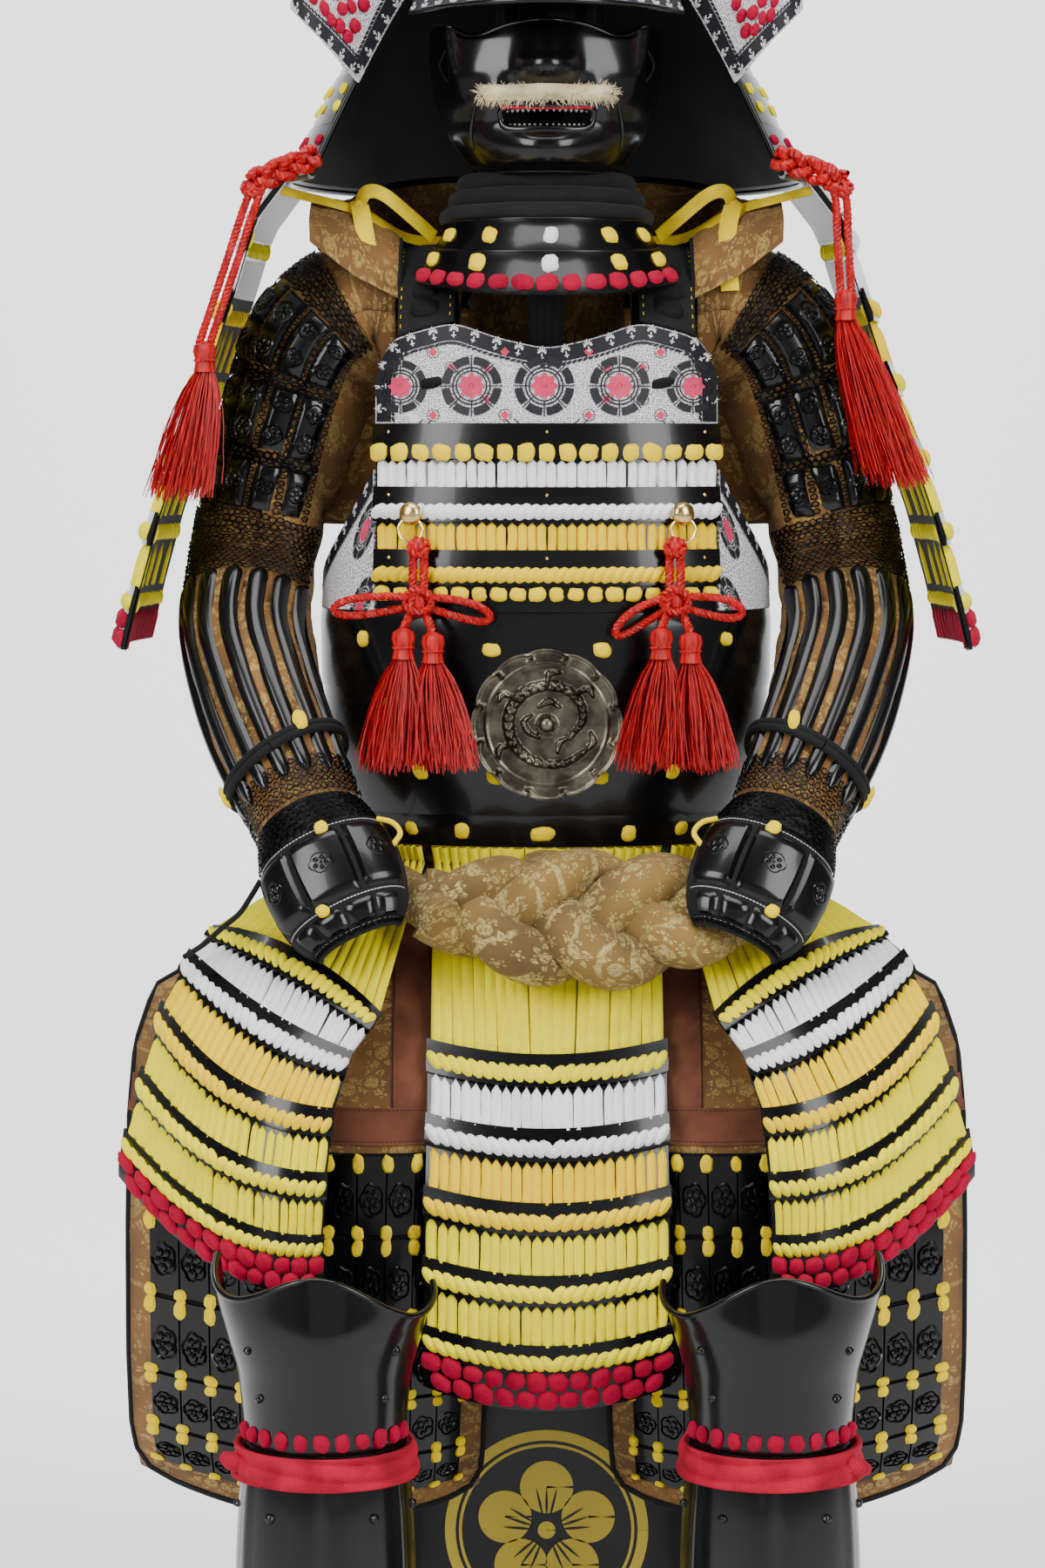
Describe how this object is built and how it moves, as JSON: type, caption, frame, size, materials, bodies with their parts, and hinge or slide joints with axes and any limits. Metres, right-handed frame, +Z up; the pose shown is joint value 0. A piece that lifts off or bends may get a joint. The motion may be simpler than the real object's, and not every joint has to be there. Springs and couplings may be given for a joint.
{
  "type": "samurai armour on a display stand and storage box",
  "caption": "Full suit of laced plate armour with helmet, face guard, sleeves, skirt and leg guards, dressed on a limbless stand over its storage box.",
  "frame": {"origin": "centre of the box's flat underside, on the floor", "axes": "+Z up, the armour faces -Y, left in a node's name means the viewer's left, at -X"},
  "size_m": [0.695, 0.6755, 1.588],
  "materials": {
    "lacquered_wood": "gloss black lacquer over wood",
    "stand_wood": "dark stained",
    "black_lacquer": "gloss black lacquer over iron plate",
    "black_mail": "black lacquered mail and splints",
    "printed_leather": "white leather printed with wheels and a lattice, dark border",
    "lacing": "flat silk lacing over black lacquered lames",
    "gold_brocade": "gold-brown brocade with flowers",
    "sash_brocade": "olive brocade with pale gold flowers",
    "red_silk": "twisted red silk",
    "yellow_ribbon": "flat yellow ribbon",
    "bronze": "dark antique bronze",
    "brass": "satin",
    "black_cloth": "matt black cloth",
    "rose_cloth": "crimson cotton",
    "russet_cloth": "russet cotton"
  },
  "bodies": {
    "root": {"box_body": "lacquered_wood", "box_lid": "lacquered_wood", "stand": "stand_wood", "helmet_bowl": "black_lacquer", "visor": "printed_leather", "neck_guard": "black_lacquer", "turnback_left": "printed_leather", "turnback_right": "printed_leather", "mask": "black_lacquer", "neck_wrap": "black_cloth", "throat_guard": "black_lacquer", "chest_top": "printed_leather", "chest_lame_1": "lacing", "chest_lame_2": "lacing", "chest_lame_3": "lacing", "waist_front": "black_lacquer", "waist_back": "black_lacquer", "back_plate": "black_lacquer", "side_left": "printed_leather", "side_right": "printed_leather", "strap_left": "black_cloth", "strap_right": "black_cloth", "medallion": "bronze", "stud_left": "brass", "stud_right": "brass", "chest_tassel_left": "red_silk", "chest_tassel_right": "red_silk", "shoulder_guard_left": "lacing", "shoulder_guard_right": "lacing", "shoulder_tie_left": "yellow_ribbon", "shoulder_tie_right": "yellow_ribbon", "shoulder_tassel_left": "red_silk", "shoulder_tassel_right": "red_silk", "sleeve_left": "gold_brocade", "sleeve_right": "gold_brocade", "arm_mail_left": "black_mail", "arm_mail_right": "black_mail", "hand_guard_left": "black_lacquer", "hand_guard_right": "black_lacquer", "tasset_centre": "lacing", "tasset_left": "lacing", "tasset_right": "lacing", "tasset_back_left": "lacing", "tasset_back_centre": "lacing", "tasset_back_right": "lacing", "sash_band": "sash_brocade", "sash_knot": "sash_brocade", "thigh_belt": "russet_cloth", "thigh_cloth_left": "gold_brocade", "thigh_cloth_right": "gold_brocade", "thigh_plates_left": "black_mail", "thigh_plates_right": "black_mail", "kneecap_left": "black_lacquer", "kneecap_right": "black_lacquer", "shin_left": "black_lacquer", "shin_right": "black_lacquer", "shin_tie_left": "rose_cloth", "shin_tie_right": "rose_cloth", "wrist_cord": "black_cloth"}
  },
  "joints": []
}
